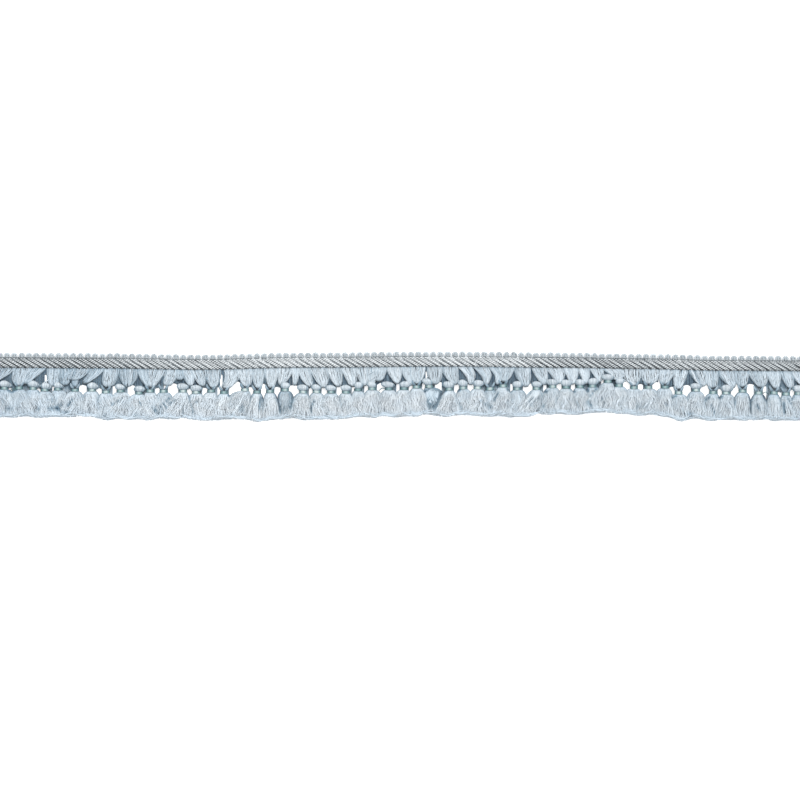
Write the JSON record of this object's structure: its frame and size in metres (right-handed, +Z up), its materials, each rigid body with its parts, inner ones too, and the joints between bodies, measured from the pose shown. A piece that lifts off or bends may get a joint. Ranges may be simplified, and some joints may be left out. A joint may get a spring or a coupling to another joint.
{
  "type": "tassel trim",
  "caption": "Cut length of braided heading with scalloped loops, a skirt of gathered yarn loops and a row of small tied tassels, laid flat on its back.",
  "frame": {"origin": "centre of the trim's outline, on the surface that it lies on", "axes": "+X along the trim, +Y from the tassels' hem to the heading, +Z up out of the surface that the trim lies on"},
  "size_m": [0.48, 0.04, 0.005],
  "materials": {
    "heading_cord": "silver grey twisted cord with a soft lustre",
    "skirt_yarn": "pale ice blue grey loose yarn",
    "tassel_yarn": "pale ice blue grey yarn with a bluer shade towards the hem",
    "tie_thread": "grey green binding thread"
  },
  "bodies": {
    "root": {"heading_braid": "heading_cord", "loop_skirt": "skirt_yarn", "tassel_01": "tassel_yarn", "tassel_02": "tassel_yarn", "tassel_03": "tassel_yarn", "tassel_04": "tassel_yarn", "tassel_05": "tassel_yarn", "tassel_06": "tassel_yarn", "tassel_07": "tassel_yarn", "tassel_08": "tassel_yarn", "tassel_09": "tassel_yarn", "tassel_10": "tassel_yarn", "tassel_11": "tassel_yarn", "tassel_12": "tassel_yarn", "tassel_13": "tassel_yarn", "tassel_14": "tassel_yarn", "tassel_15": "tassel_yarn", "tassel_16": "tassel_yarn", "tassel_17": "tassel_yarn", "tassel_18": "tassel_yarn", "tassel_19": "tassel_yarn", "tassel_20": "tassel_yarn", "tassel_21": "tassel_yarn", "tassel_22": "tassel_yarn", "tassel_23": "tassel_yarn", "tassel_24": "tassel_yarn", "tassel_25": "tassel_yarn", "tassel_26": "tassel_yarn", "tassel_27": "tassel_yarn", "tassel_28": "tassel_yarn", "tassel_29": "tassel_yarn", "tassel_30": "tassel_yarn", "tassel_31": "tassel_yarn", "tassel_32": "tassel_yarn", "tassel_33": "tassel_yarn", "tassel_34": "tassel_yarn", "tassel_35": "tassel_yarn", "tassel_36": "tassel_yarn", "tassel_37": "tassel_yarn", "tassel_38": "tassel_yarn", "tassel_39": "tassel_yarn", "tassel_40": "tassel_yarn", "tassel_41": "tassel_yarn", "tassel_42": "tassel_yarn", "tassel_43": "tassel_yarn", "tassel_44": "tassel_yarn", "tassel_45": "tassel_yarn", "tassel_46": "tassel_yarn", "tassel_47": "tassel_yarn", "tassel_48": "tassel_yarn", "tassel_49": "tassel_yarn", "tassel_50": "tassel_yarn", "tassel_51": "tassel_yarn", "tassel_52": "tassel_yarn", "tassel_53": "tassel_yarn", "tassel_54": "tassel_yarn", "tassel_55": "tassel_yarn", "tassel_56": "tassel_yarn", "tassel_57": "tassel_yarn"}
  },
  "joints": []
}
